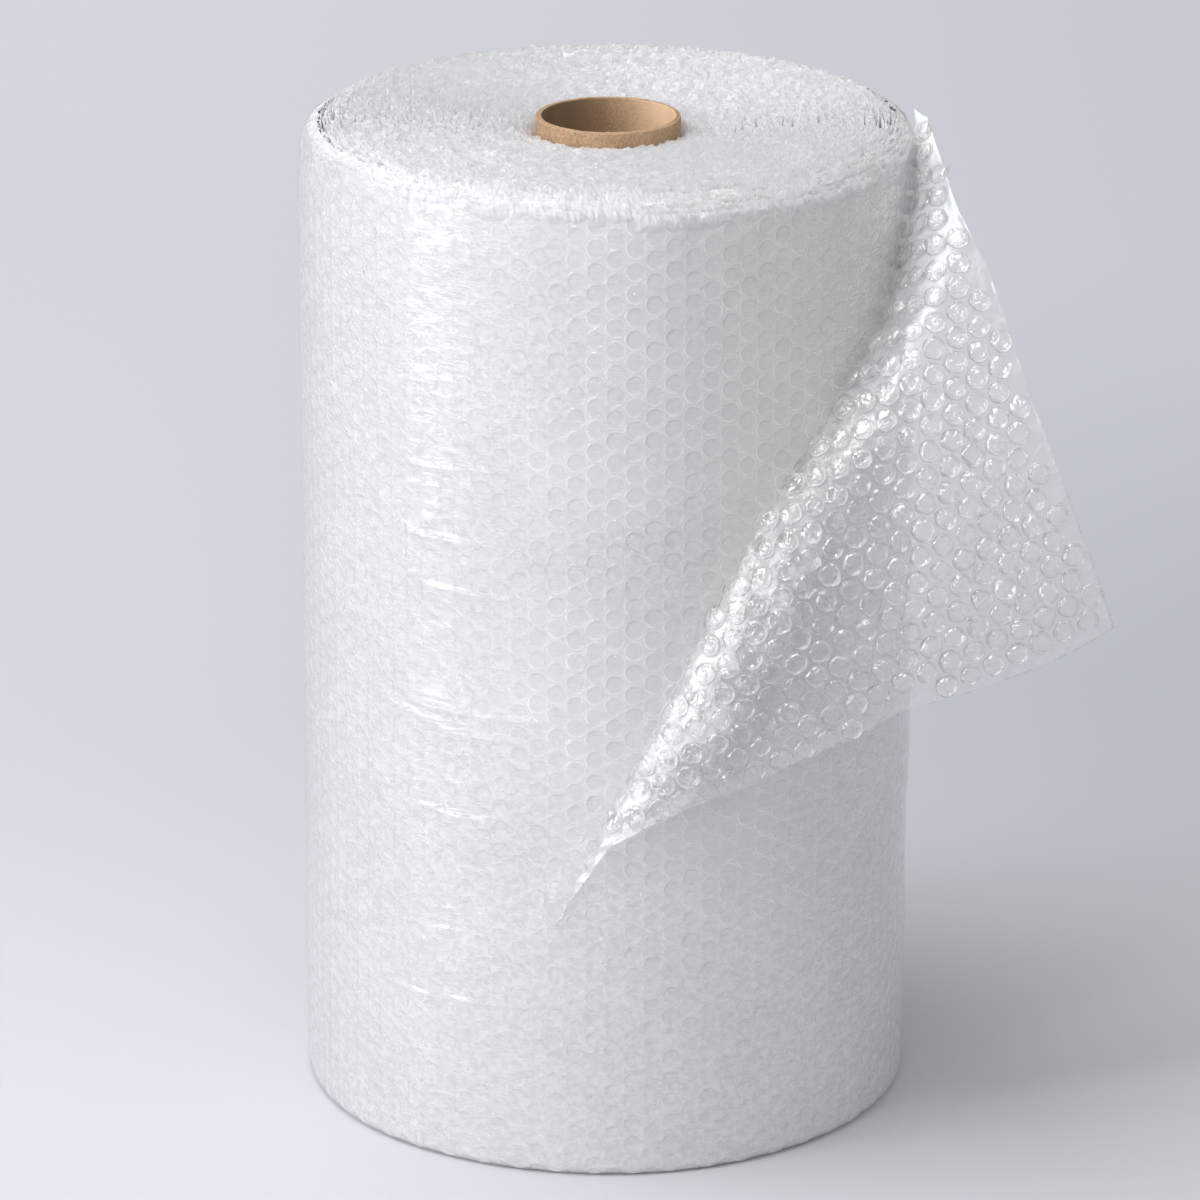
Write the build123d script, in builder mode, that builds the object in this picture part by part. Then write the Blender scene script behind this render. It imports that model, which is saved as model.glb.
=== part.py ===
"""Bubble wrap roll: a web of bubble film wound on a cardboard core, with its top corner folded back.

The roll stands on its end. The origin is on its axis at the floor, +Z is up and the front is towards -Y.
Angles round the roll are azimuths: zero at the front, growing towards +X. Lengths are in millimetres.
"""
from build123d import *
from math import atan2, cos, degrees, radians, sin, sqrt
import os

# Roll and core
roll_radius = 151.5
roll_height = 500.0
core_radius = 35.5
core_wall = 3.0
core_height = 497.5
core_rim = 0.6

# Turns of the web: every one shows at the top, the outer few at the foot
turn_count = 18
inner_land_share = 1.2
turn_groove = 2.2
foot_turn_count = 3
foot_groove = 2.0
foot_rounding = 6.0

# Top end, dished towards the core and rounded at the shoulder
dish_depth = 9.0
shoulder_radius = 18.5

# Loose corner: the web leaves the roll further round and bends wider the higher it is
cut_azimuth = -9.0
fold_end_azimuth = 94.6
corner_foot = 130.0
fold_height_shares = (0, 0.19, 0.35, 0.5, 0.65, 0.785, 0.89, 1)
fold_azimuth_shares = (0, 0.137, 0.247, 0.353, 0.510, 0.738, 0.8625, 1)
bend_sections = 18
bend_strips = 8
foot_bend = 1.5
middle_bend = 11.0
top_bend = 31.5
bend_film = 1.4
bend_sink = 0.7
lifted_gap = 4.0
lifted_film = 0.4

# Flap: a curled panel whose rulings are level and turn back a little from the front
flap_heading = 12.0

# Outline of the flap, seen square to a face that leans back
face_tilt = 19.1
corner_reach = 92.5
corner_drop = 242.0
peak_inset = 2.0
peak_drop = 11.0
top_edge_bow = 9.0
cut_edge_shares = ((0.06, 0.16), (0.17, 0.32), (0.44, 0.56), (0.7, 0.77))

# Bubbles on the face of the flap, in rows square to the top edge of the web
bubble_pitch = 12.5
bubble_radius = 5.2
bubble_crown_share = 0.78
bubble_height = 3.6
bubble_root = 0.6
bubble_sides = 6
bubble_margin = 0.8
bubble_row_angle = 22.0

turn_pitch = (roll_radius - core_radius) / (turn_count + inner_land_share)
clearance = shoulder_radius / 2
flap_reach = roll_radius + corner_reach + clearance
cut_direction = Vector(sin(radians(cut_azimuth)), -cos(radians(cut_azimuth)), 0)
heading = radians(flap_heading)
ruling_direction = Vector(cos(heading), sin(heading), 0)
front_direction = Vector(sin(heading), -cos(heading), 0)
tilt = radians(face_tilt)
axis_point = (0, 0, 0)
face_plane = Plane(origin=axis_point, x_dir=(1, 0, 0), z_dir=(0, -cos(tilt), sin(tilt)))
cut_plane = Plane(origin=axis_point, x_dir=cut_direction, z_dir=(cut_direction.Y, -cut_direction.X, 0))


def top_height(radius):
    """Height of the film edges at a radius: dished round the core and rounded down at the shoulder."""
    shoulder_start = roll_radius - shoulder_radius
    if radius > shoulder_start:
        reach = min(radius - shoulder_start, shoulder_radius)
        return roll_height - shoulder_radius + sqrt(shoulder_radius**2 - reach**2)
    share = (shoulder_start - radius) / (shoulder_start - core_radius)
    return roll_height - dish_depth * share**2


def winding_section(outer_radius):
    """Half a section of the winding: a ridge for each turn at the top and for the outer ones below."""
    half_pitch = turn_pitch / 2
    inner_radius = core_radius - turn_pitch
    points = [(inner_radius, 0)]
    for turn in range(foot_turn_count, 0, -1):
        valley = outer_radius - turn * turn_pitch
        points.append((valley - half_pitch, 0))
        points.append((valley, foot_groove))
    points.append((outer_radius - half_pitch, 0))
    points.append((outer_radius, foot_rounding))
    points.append((outer_radius, top_height(outer_radius - half_pitch / 2)))
    for turn in range(turn_count):
        ridge = outer_radius - turn * turn_pitch - half_pitch
        valley = ridge - half_pitch
        points.append((ridge, top_height(ridge)))
        points.append((valley, top_height(valley) - turn_groove))
    points.append((inner_radius, points[-1][1]))
    return points


def fold_height(share):
    """Height at a share of the fold, which runs from the foot of the loose corner to the top end."""
    return corner_foot + share * (roll_height - corner_foot)


def fold_azimuth(share):
    """Azimuth at a share of the fold, in degrees: the line where the web leaves the roll."""
    return cut_azimuth + share * (fold_end_azimuth - cut_azimuth)


def bend_distance(bend_radius, azimuth):
    """Distance from the axis to the end of a bend, square to the flap's rulings."""
    lean = cos(radians(azimuth) - heading)
    return (roll_radius - bend_sink) * lean + bend_radius * (1 + lean)


def circle_through(first, middle, last):
    """Centre and radius of the circle through three points of a plane."""
    to_middle = middle - first
    to_last = last - first
    double_area = 2 * (to_middle.X * to_last.Y - to_middle.Y * to_last.X)
    middle_square = to_middle.dot(to_middle)
    last_square = to_last.dot(to_last)
    centre_x = (to_last.Y * middle_square - to_middle.Y * last_square) / double_area
    centre_y = (to_middle.X * last_square - to_last.X * middle_square) / double_area
    offset = Vector(centre_x, centre_y)
    return first + offset, offset.length


# Curl of the flap: the circle that its back follows, set by the bends at the foot, lower down and at the top
curl_points = []
for station, bend_radius in ((0, foot_bend), (2, middle_bend), (-1, top_bend)):
    distance = bend_distance(bend_radius, fold_azimuth(fold_azimuth_shares[station]))
    curl_points.append(Vector(distance, fold_height(fold_height_shares[station])))
curl_centre, curl_radius = circle_through(*curl_points)


class Bend:
    """The bend of the web at one height of the fold: an arc that touches the roll and ends in the flap."""

    def __init__(self, height_share, azimuth_share):
        self.height = fold_height(height_share)
        self.azimuth = fold_azimuth(azimuth_share)
        flap_distance = curl_centre.X + sqrt(curl_radius**2 - (self.height - curl_centre.Y) ** 2)
        lean = cos(radians(self.azimuth) - heading)
        self.radius = (flap_distance - (roll_radius - bend_sink) * lean) / (1 + lean)
        reach = roll_radius + self.radius - bend_sink
        self.centre = Vector(sin(radians(self.azimuth)), -cos(radians(self.azimuth)), 0) * reach
        self.start_angle = self.azimuth + 90
        self.arc_angle = 180 + flap_heading - self.azimuth
        self.flap_edge = self.centre.dot(ruling_direction)

    def trace(self, radius):
        """Points of the web at a radius of the bend: one for each crease round it, then the flap's far end."""
        points = []
        for crease in range(bend_strips + 1):
            angle = radians(self.start_angle + self.arc_angle * crease / bend_strips)
            points.append(self.centre + Vector(cos(angle), sin(angle), 0) * radius)
        points.append(points[-1] + ruling_direction * (flap_reach - self.flap_edge))
        return points


fold_curve = Spline(*zip(fold_height_shares, fold_azimuth_shares))
bends = []
for section in range(bend_sections + 1):
    fold_share = fold_curve @ (section / bend_sections)
    bends.append(Bend(fold_share.X, fold_share.Y))

# Cardboard core: a plain tube with its outer rims broken
with BuildPart() as cardboard_core:
    with BuildSketch():
        Circle(core_radius)
        Circle(core_radius - core_wall, mode=Mode.SUBTRACT)
    extrude(amount=core_height)
    chamfer(cardboard_core.edges().filter_by(GeomType.CIRCLE).group_by(SortBy.RADIUS)[-1], core_rim)

# Turns of the web: two half rounds, their centres half a turn apart, which join into one spiral
with BuildPart() as wound_turns:
    for shift, upward in ((0, 1), (turn_pitch / 2, -1)):
        centre = cut_direction * -shift
        with BuildSketch(Plane(origin=centre, x_dir=cut_plane.x_dir, z_dir=cut_plane.z_dir)):
            with BuildLine():
                Polyline(*winding_section(roll_radius - shift), close=True)
            make_face()
        revolve(axis=Axis(centre, (0, 0, upward)), revolution_arc=180)
    with BuildSketch():
        Circle(core_radius)
    extrude(amount=roll_height, mode=Mode.SUBTRACT)

# Space that the lifted corner leaves in the outer turn, up to the fold
edge_x = roll_radius * cut_direction.X
space_top = roll_height + clearance
lifted_line = [(edge_x, corner_foot)]
for bend in bends[1:]:
    lifted_azimuth = min(bend.azimuth - degrees(lifted_gap / roll_radius), 90)
    lifted_line.append((roll_radius * sin(radians(lifted_azimuth)), bend.height))
with BuildPart() as corner_space:
    with BuildSketch(Plane.XY.offset(corner_foot)):
        Circle(roll_radius + clearance)
        Circle(roll_radius - turn_pitch + lifted_film, mode=Mode.SUBTRACT)
    extrude(amount=space_top - corner_foot)
    with BuildSketch(Plane.XZ):
        with BuildLine():
            Spline(*lifted_line)
            Polyline(lifted_line[-1], (lifted_line[-1][0], space_top), (edge_x, space_top), lifted_line[0])
        make_face()
    extrude(amount=roll_radius + clearance, mode=Mode.INTERSECT)

# Bend and flap before they are trimmed, through a section of the web at each height of the fold
with BuildPart() as folded_web:
    for bend in bends:
        inner_trace = bend.trace(bend.radius)
        outer_trace = bend.trace(bend.radius + bend_film)
        with BuildSketch(Plane.XY.offset(bend.height)):
            with BuildLine():
                Polyline(*inner_trace, *reversed(outer_trace), close=True)
            make_face()
    loft(ruled=True)

# Outline of the loose corner: cut edge, corner, top edge of the web, then clear of the bend
foot_point = face_plane.to_local_coords(cut_direction * roll_radius + Vector(0, 0, corner_foot))
peak_point = face_plane.to_local_coords(Vector(roll_radius - peak_inset, 0, roll_height - peak_drop))
foot = (foot_point.X + foot_bend + bend_film, foot_point.Y)
peak = (peak_point.X, peak_point.Y)
corner = (roll_radius + corner_reach, peak_point.Y - corner_drop)
cut_edge = [foot]
for across_share, rise_share in cut_edge_shares:
    across = foot[0] + across_share * (corner[0] - foot[0])
    cut_edge.append((across, foot[1] + rise_share * (corner[1] - foot[1])))
cut_edge.append(corner)
trim_left = foot[0] - 2 * shoulder_radius
trim_top = peak[1] + 2 * shoulder_radius
trim_foot = foot[1] - clearance
with BuildPart() as corner_outline:
    with BuildSketch(face_plane) as outline:
        with BuildLine():
            Spline(*cut_edge)
            SagittaArc(corner, peak, top_edge_bow)
            Polyline(peak, (peak[0] - shoulder_radius, trim_top), (trim_left, trim_top), (trim_left, trim_foot))
            Polyline((trim_left, trim_foot), (foot[0], trim_foot), foot)
        make_face()
    extrude(amount=roll_height, both=True)

# One bubble, a low faceted cup whose root is sunk in the film
bubble_draw = bubble_radius * cos(radians(180 / bubble_sides)) * (1 - bubble_crown_share)
with BuildPart() as bubble:
    with BuildSketch(Plane.XY.offset(-bubble_root)):
        RegularPolygon(bubble_radius, bubble_sides, rotation=bubble_row_angle)
    cup_height = bubble_height + bubble_root
    extrude(amount=cup_height, taper=degrees(atan2(bubble_draw, cup_height)))


def flap_place(along, round_curl):
    """Plane on the face of the flap, at a distance along its rulings and a distance round its curl."""
    turn = round_curl / curl_radius
    outward = front_direction * cos(turn) + Vector(0, 0, sin(turn))
    middle = front_direction * (curl_centre.X + bend_film) + Vector(0, 0, curl_centre.Y)
    point = middle + outward * curl_radius + ruling_direction * along
    return Plane(origin=point, x_dir=ruling_direction, z_dir=outward)


def edge_of_bend(height):
    """Distance along the rulings at which the bend ends and the flap begins, at a height."""
    for below, above in zip(bends, bends[1:]):
        if height <= above.height:
            break
    share = (height - below.height) / (above.height - below.height)
    return below.flap_edge + share * (above.flap_edge - below.flap_edge)


def stands_clear(point):
    """Whether a bubble at a point of the flap keeps inside its outline and off the bend."""
    seen = face_plane.to_local_coords(point)
    flat = Vector(seen.X, seen.Y, 0)
    face = outline.sketch_local.face()
    room = bubble_radius + bubble_margin
    if not face.is_inside(flat) or face.outer_wire().distance_to(flat) < room:
        return False
    return point.dot(ruling_direction) - edge_of_bend(point.Z) > room


row_step = Vector(bubble_pitch, 0, 0).rotate(Axis.Z, bubble_row_angle)
next_row = Vector(bubble_pitch, 0, 0).rotate(Axis.Z, bubble_row_angle + 60)
row_reach = int(flap_reach / bubble_pitch)
bubble_places = []
for row in range(-row_reach, row_reach + 1):
    for column in range(-row_reach, row_reach + 1):
        spot = row_step * column + next_row * row
        place = flap_place(spot.X, spot.Y)
        if stands_clear(place.origin):
            bubble_places.append(place)

with BuildPart() as loose_corner:
    add(folded_web)
    add(corner_outline, mode=Mode.INTERSECT)
    with Locations(*bubble_places):
        add(bubble)

# The web is one piece, from its turns round the core to the tip of the flap
with BuildPart() as bubble_wrap:
    add(wound_turns)
    add(corner_space, mode=Mode.SUBTRACT)
    add(loose_corner)

os.makedirs("parts", exist_ok=True)

cardboard_core.part.label = "cardboard_core"
export_step(cardboard_core.part, "parts/cardboard_core.step")

bubble_wrap.part.label = "bubble_wrap"
export_step(bubble_wrap.part, "parts/bubble_wrap.step")

for part in (cardboard_core.part, bubble_wrap.part):
    print(part.label, "is valid:", part.is_valid, "solids:", len(part.solids()), "volume:", round(part.volume))
print("bubbles:", len(bubble_places), "curl radius:", round(curl_radius, 1))
print("bend radii:", [round(bend.radius, 1) for bend in bends])
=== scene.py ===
"""Bubble wrap roll: clear bubbled film wound on a cardboard core, its top corner folded back.

The roll stands on its end on the origin, +Z is up and the front is towards -Y. Shapes are worked out in millimetres
and made in metres. Node trees and settings are in metres. Azimuths are zero at the front and grow towards +X.
"""

import math

import bpy
import numpy as np
from mathutils import Matrix, Vector


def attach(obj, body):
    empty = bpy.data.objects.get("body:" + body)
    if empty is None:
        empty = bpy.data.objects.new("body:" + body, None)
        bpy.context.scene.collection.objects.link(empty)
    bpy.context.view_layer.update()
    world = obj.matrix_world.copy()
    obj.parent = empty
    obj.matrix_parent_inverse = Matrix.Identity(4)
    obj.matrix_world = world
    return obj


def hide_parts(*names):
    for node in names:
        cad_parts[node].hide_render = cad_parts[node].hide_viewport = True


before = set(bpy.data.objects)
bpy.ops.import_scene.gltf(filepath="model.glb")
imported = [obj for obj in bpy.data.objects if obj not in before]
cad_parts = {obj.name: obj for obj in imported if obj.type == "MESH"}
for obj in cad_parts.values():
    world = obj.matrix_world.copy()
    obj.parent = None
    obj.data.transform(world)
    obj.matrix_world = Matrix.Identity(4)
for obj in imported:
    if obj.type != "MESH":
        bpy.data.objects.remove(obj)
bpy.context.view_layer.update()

bl_info = {
    "name": "Bubble Wrap Roll",
    "version": (1, 0, 0),
    "blender": (4, 5, 0),
    "location": "3D View > Sidebar > Bubble Wrap",
    "description": "Builds a roll of bubbled film on a cardboard core, with a plain studio round it",
    "category": "Object",
}

MM = 0.001
CREASES = "Film Creases"

# What the meshes keep for each point: the place on the flat web, the smooth surface's direction, how far it is a weld
# or a ply line, the room to the corner's edge, the core's inner wall, the distance from a bubble's centre as a share
# of its radius, the strength of the outer film's creases and gloss, and the lit side of a ring
WEB_MAP = "web"
OUTWARD = "outward"
WELD = "weld"
FREE = "free"
INSIDE = "inside"
REACH = "reach"
SHEEN = "sheen"
GLINT = "glint"

# Roll, in millimetres and degrees
ROLL_RADIUS = 151.6
ROLL_HEIGHT = 499.0
CORE_RADIUS = 35.5
CORE_BORE = 32.5
CORE_HEIGHT = 497.5
SHOULDER = 18.5
FOOT_ROUND = 5.0
DISH = 8.0
CUT_AZIMUTH = -9.0
SEAM_AZIMUTH = CUT_AZIMUTH - 180
TURN_STEP = 2.6
SIDE_LENGTH = ROLL_HEIGHT - SHOULDER
AROUND = math.tau * ROLL_RADIUS
TOP_FLAT = ROLL_RADIUS - SHOULDER - 35
HIGHEST = ROLL_HEIGHT + 0.8

# Loose corner, in millimetres and radians, its azimuths in degrees
CORNER_FOOT = 130.0
CORNER_TOP = 500.0
TOP_EDGE = 498.5
FOLD_END = 94.6
FOLD_HEIGHT_SHARES = (0, 0.19, 0.35, 0.5, 0.65, 0.785, 0.89, 1)
FOLD_AZIMUTH_SHARES = (0, 0.137, 0.247, 0.353, 0.510, 0.738, 0.8625, 1)
BEND_RADII = (1.5, 11.0, 31.5)
BEND_ROOT = 150.8
HEADING = math.radians(12)
FILM_OFFSET = 0.7
WIDE_BEND_TURN = math.radians(58)
WIDE_BEND_SHARE = 0.8
WIDE_BEND_LIMITS = (70.0, 18.0)
WIDE_BEND_SHIFT = 1.5
BEND_COLUMNS = 0.45
CORNER_HEIGHT = 276.9
FILM_HALF = 0.1
CUT_EDGE = (
    (130, -60), (137, -54), (160.2, -41), (176, -31.9), (188, -13.1), (197, 5.9), (207.4, 35), (219, 59),
    (228.7, 84), (242.9, 110), (246.4, 132), (253.2, 157), (263.8, 187), (CORNER_HEIGHT, 213),
)
LONG_EDGE = (
    (CORNER_HEIGHT, 213), (306.5, 204), (333.1, 194.6), (357.6, 186), (386.3, 177), (417.3, 169), (444.4, 162),
    (463.8, 154), (481.5, 148.2), (TOP_EDGE, 141),
)
FLAP_PITCH = 12.5
FLAP_ROW_ANGLE = math.radians(22)

# Long wrinkles of the outer film: their points as azimuth and height, then width and rise
LONG_WRINKLES = (
    (((-44.4, 233.5), (-34.6, 228.3), (-29.6, 224.3), (-18.9, 224.1)), 1.6, 1.9),
    (((-38.6, 236.3), (-31.1, 235.3), (-22.0, 235.3), (-12.4, 235.6)), 1.7, 2.2),
    (((-34.8, 182.7), (-26.5, 180.8), (-22.1, 181.2), (-17.6, 185.9)), 1.5, 1.7),
    (((-49.5, 327.3), (-43.2, 326.3), (-38.3, 321.6), (-27.3, 322.0)), 1.4, 1.5),
    (((-33.1, 297.1), (-21.9, 295.3), (-16.1, 297.1)), 1.3, 1.3),
    (((-40.6, 357.1), (-31.4, 356.8), (-23.2, 359.1)), 1.3, 1.2),
    (((-41.6, 86.5), (-37.0, 84.8)), 1.3, 1.3),
    (((-29.0, 86.8), (-23.5, 85.8)), 1.3, 1.3),
)
SHORT_WRINKLES = 460

# Looks: how far the wound film is shaded like the smooth roll, where a bubble's ring lies as a share of its radius,
# the painted shade on the film's right side, a darker and warmer tint, and the fold's lean and place, which the
# flap's painted highlight beside its fold follows
SOFT_SHARE = 0.85
RING_SHARE = 0.98
SHADED_SIDE_TINT = (0.755, 0.745, 0.70, 1.0)
FOLD_LEAN = -0.49
FOLD_PLACE = 0.0915

# Camera, fitted to the outline in the photo
CAMERA_PLACE = (0.0146, -3.0731, 1.3128)
CAMERA_PITCH = 19.13
CAMERA_YAW = 0.336
CAMERA_ROLL = 0.149
CAMERA_LENS = 195.06


# Node trees

class Value:
    """What a node puts out. Its arithmetic adds Math and Vector Math nodes to the same tree."""

    def __init__(self, nodes, socket):
        self.nodes = nodes
        self.socket = socket
        self.wide = socket.type in ("VECTOR", "RGBA")

    def join(self, operation, first, second):
        """The result of a Math node, or of a Vector Math node if this is a vector."""
        if not self.wide:
            return self.nodes.math(operation, first, second)
        if operation == "MULTIPLY" and not getattr(second, "wide", False):
            return self.nodes.vector("SCALE", {0: first, 3: second})
        return self.nodes.vector(operation, (first, second))

    def __add__(self, other):
        return self.join("ADD", self, other)

    def __sub__(self, other):
        return self.join("SUBTRACT", self, other)

    def __rsub__(self, other):
        return self.join("SUBTRACT", other, self)

    def __mul__(self, other):
        return self.join("MULTIPLY", self, other)

    def __truediv__(self, other):
        return self.join("DIVIDE", self, other)

    def __mod__(self, other):
        return self.join("MODULO", self, other)

    def __pow__(self, other):
        return self.join("POWER", self, other)

    def __abs__(self):
        return self.nodes.math("ABSOLUTE", self)


class Tree:
    """A node tree with short ways to add, fill and link its nodes."""

    def __init__(self, tree):
        self.tree = tree

    def add(self, kind, inputs=None, **settings):
        """A new node with its settings made and its inputs filled or linked, by name or by place."""
        node = self.tree.nodes.new(kind)
        for name, value in settings.items():
            setattr(node, name, value)
        for key, value in inputs.items() if isinstance(inputs, dict) else enumerate(inputs or ()):
            by_place = isinstance(key, int)
            socket = node.inputs[key] if by_place else next(s for s in node.inputs if s.name == key and s.enabled)
            if isinstance(value, Value):
                self.tree.links.new(value.socket, socket)
            else:
                socket.default_value = value
        return node

    def get(self, kind, inputs=None, output=0, **settings):
        """One output of a new node."""
        return Value(self, self.add(kind, inputs, **settings).outputs[output])

    def outputs(self, kind, inputs=None, **settings):
        """All that a new node puts out, by name."""
        return {socket.name: Value(self, socket) for socket in self.add(kind, inputs, **settings).outputs}

    def math(self, operation, *values, clamp=False):
        """The result of a Math node."""
        return self.get("ShaderNodeMath", values, operation=operation, use_clamp=clamp)

    def vector(self, operation, inputs):
        """The result of a Vector Math node."""
        return self.get("ShaderNodeVectorMath", inputs, operation=operation)

    def split(self, vector):
        """The three numbers of a vector."""
        return self.outputs("ShaderNodeSeparateXYZ", (vector,)).values()

    def xyz(self, *values):
        """A vector from its numbers."""
        return self.get("ShaderNodeCombineXYZ", values)

    def noise(self, place, scale, detail=2.0, roughness=0.5):
        """The value of a Noise Texture, about 0 to 1."""
        values = {"Vector": place, "Scale": scale, "Detail": detail, "Roughness": roughness}
        return self.get("ShaderNodeTexNoise", values)

    def ramp(self, value, low, high, first=0.0, last=1.0):
        """A value taken smoothly from one range to another."""
        values = {"Value": value, "From Min": low, "From Max": high, "To Min": first, "To Max": last}
        return self.get("ShaderNodeMapRange", values, interpolation_type="SMOOTHSTEP")

    def random(self, low, high, seed):
        """A random number for each point."""
        node = self.add("FunctionNodeRandomValue", {"Min": low, "Max": high, "Seed": seed}, data_type="FLOAT")
        return Value(self, next(s for s in node.outputs if s.enabled))

    def named(self, name, kind="FLOAT"):
        """What the points of a geometry keep under a name."""
        return self.get("GeometryNodeInputNamedAttribute", {"Name": name}, data_type=kind)

    def stored(self, geometry, name, value, kind="FLOAT"):
        """A geometry whose points keep a value under a name."""
        values = {"Geometry": geometry, "Name": name, "Value": value}
        return self.get("GeometryNodeStoreNamedAttribute", values, data_type=kind)

    def moved(self, geometry, **where):
        """A geometry with its points set or pushed to another place."""
        return self.get("GeometryNodeSetPosition", {"Geometry": geometry, **where})

    def shape(self, item):
        """The geometry of an object."""
        return self.get("GeometryNodeObjectInfo", {"Object": item}, "Geometry")

    def attribute(self, name, output="Fac"):
        """What a mesh keeps under a name, for its material."""
        return self.get("ShaderNodeAttribute", output=output, attribute_name=name)

    def place(self):
        """The place on the object."""
        return self.get("ShaderNodeTexCoord", output="Object")

    def creases(self, stretch):
        """Height and mask of the film's creases, squeezed up the film."""
        group = bpy.data.node_groups.get(CREASES) or crease_group()
        found = self.outputs("ShaderNodeGroup", {"Stretch": stretch}, node_tree=group)
        return found["Height"], found["Mask"]

    def mix(self, share, first, second):
        """A colour mixed from two."""
        return self.get("ShaderNodeMix", {0: share, 6: first, 7: second}, 2, data_type="RGBA")

    def bump(self, height, strength, distance):
        """The direction of a surface with fine relief."""
        return self.get("ShaderNodeBump", {"Height": height, "Strength": strength, "Distance": distance})

    def blend(self, share, first, second):
        """A shader mixed from two."""
        return self.get("ShaderNodeMixShader", (share, first, second))

    def surface(self, shader, kind="ShaderNodeOutputMaterial"):
        """Puts out the shader of a material or, with its kind of node, of a world."""
        self.add(kind, {"Surface": shader})


def colour(red, green, blue):
    """A colour as three numbers with full alpha, from its values as seen on a screen, 0 to 255."""
    shares = [v / 255 for v in (red, green, blue)]
    return [s / 12.92 if s <= 0.04045 else ((s + 0.055) / 1.055) ** 2.4 for s in shares] + [1.0]


def tinted(base, share=1.0):
    """A colour with full alpha, darker or lighter by one share or by one for each of its numbers."""
    return [c * float(k) for c, k in zip(base, np.broadcast_to(share, 3))] + [1.0]


def new_material(name):
    """The nodes of a new, empty material."""
    material = bpy.data.materials.new(name)
    material.use_nodes = True
    material.node_tree.nodes.clear()
    return Tree(material.node_tree)


# Geometry of the roll and of the folded corner

def smooth_table(xs, ys, at):
    """Values between the points of a table, on a smooth curve through them."""
    xs = np.asarray(xs, float)
    ys = np.asarray(ys, float)
    slopes = np.gradient(ys, xs)
    at = np.clip(at, xs[0], xs[-1])
    k = np.clip(np.searchsorted(xs, at) - 1, 0, len(xs) - 2)
    span = xs[k + 1] - xs[k]
    t = (at - xs[k]) / span
    return (
        (2 * t**3 - 3 * t**2 + 1) * ys[k]
        + (t**3 - 2 * t**2 + t) * span * slopes[k]
        + (3 * t**2 - 2 * t**3) * ys[k + 1]
        + (t**3 - t**2) * span * slopes[k + 1]
    )


def smooth_step(low, high, value):
    """Rises smoothly from 0 to 1 between two values."""
    t = np.clip((value - low) / (high - low), 0, 1)
    return t * t * (3 - 2 * t)


def hash_noise(x, y, seed):
    """Smooth random values between -1 and 1 on a plane."""
    def corner(i, j):
        h = np.sin(i * 127.1 + j * 311.7 + seed * 74.7) * 43758.5453
        return 2 * (h - np.floor(h)) - 1
    i, j = np.floor(x), np.floor(y)
    s, t = x - i, y - j
    s, t = s * s * (3 - 2 * s), t * t * (3 - 2 * t)
    low = corner(i, j) * (1 - s) + corner(i + 1, j) * s
    high = corner(i, j + 1) * (1 - s) + corner(i + 1, j + 1) * s
    return low * (1 - t) + high * t


def layered_noise(x, y, *layers):
    """Random values of several sizes added up, from each one's length along and up, seed and strength."""
    return sum(hash_noise(x / across, y / upward, seed) * strength for across, upward, seed, strength in layers)


def polar(azimuth, radius, height):
    """Points from azimuths in radians, distances from the axis and heights."""
    return np.stack(np.broadcast_arrays(np.sin(azimuth) * radius, -np.cos(azimuth) * radius, height), -1)


def fold_azimuth(height):
    """Azimuth at which the web leaves the roll, in degrees."""
    share = (np.asarray(height, float) - CORNER_FOOT) / (CORNER_TOP - CORNER_FOOT)
    return CUT_AZIMUTH + (FOLD_END - CUT_AZIMUTH) * smooth_table(FOLD_HEIGHT_SHARES, FOLD_AZIMUTH_SHARES, share)


def circle_through(points):
    """Centre and radius of the circle through three points of a plane."""
    (x0, y0), (x1, y1), (x2, y2) = points
    ax, ay, bx, by = x1 - x0, y1 - y0, x2 - x0, y2 - y0
    area = 2 * (ax * by - ay * bx)
    cx = (by * (ax * ax + ay * ay) - ay * (bx * bx + by * by)) / area
    cy = (ax * (bx * bx + by * by) - bx * (ax * ax + ay * ay)) / area
    return x0 + cx, y0 + cy, math.hypot(cx, cy)


def curl_circle():
    """The circle that the flap follows as it curls, from its bends at the foot, lower down and at the top."""
    points = []
    for station, radius in zip((0, 2, -1), BEND_RADII):
        height = CORNER_FOOT + FOLD_HEIGHT_SHARES[station] * (CORNER_TOP - CORNER_FOOT)
        lean = math.cos(math.radians(float(fold_azimuth(height))) - HEADING)
        points.append((BEND_ROOT * lean + radius * (1 + lean), height))
    return circle_through(points)


def turn_drop(azimuth, height):
    """How far the turn below lies inside the outer one, to the left of the fold and where the corner has left it."""
    left = 1 - smooth_step(-3, 0, azimuth - (fold_azimuth(height) - 3))
    near_front = smooth_step(-80, -15, azimuth)
    return TURN_STEP * left * near_front * smooth_step(105, 160, height)


def roll_profile(length):
    """Distance inside the roll's radius, height and slope angle, at a length up the side and over the shoulder."""
    turn = np.clip((length - SIDE_LENGTH) / SHOULDER, 0, math.pi / 2)
    over = np.clip(length - SIDE_LENGTH - SHOULDER * math.pi / 2, 0, None)
    inset = SHOULDER * (1 - np.cos(turn)) + over
    height = np.where(length < SIDE_LENGTH, length, SIDE_LENGTH + SHOULDER * np.sin(turn))
    foot = np.clip(1 - length / FOOT_ROUND, 0, 1.6)
    return inset + FOOT_ROUND * 0.45 * foot**2, height - DISH * (over / TOP_FLAT) ** 2, turn


def azimuth_along(along):
    """Azimuth in degrees at a length along the web from its seam."""
    return np.degrees(along / ROLL_RADIUS) + SEAM_AZIMUTH


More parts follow.
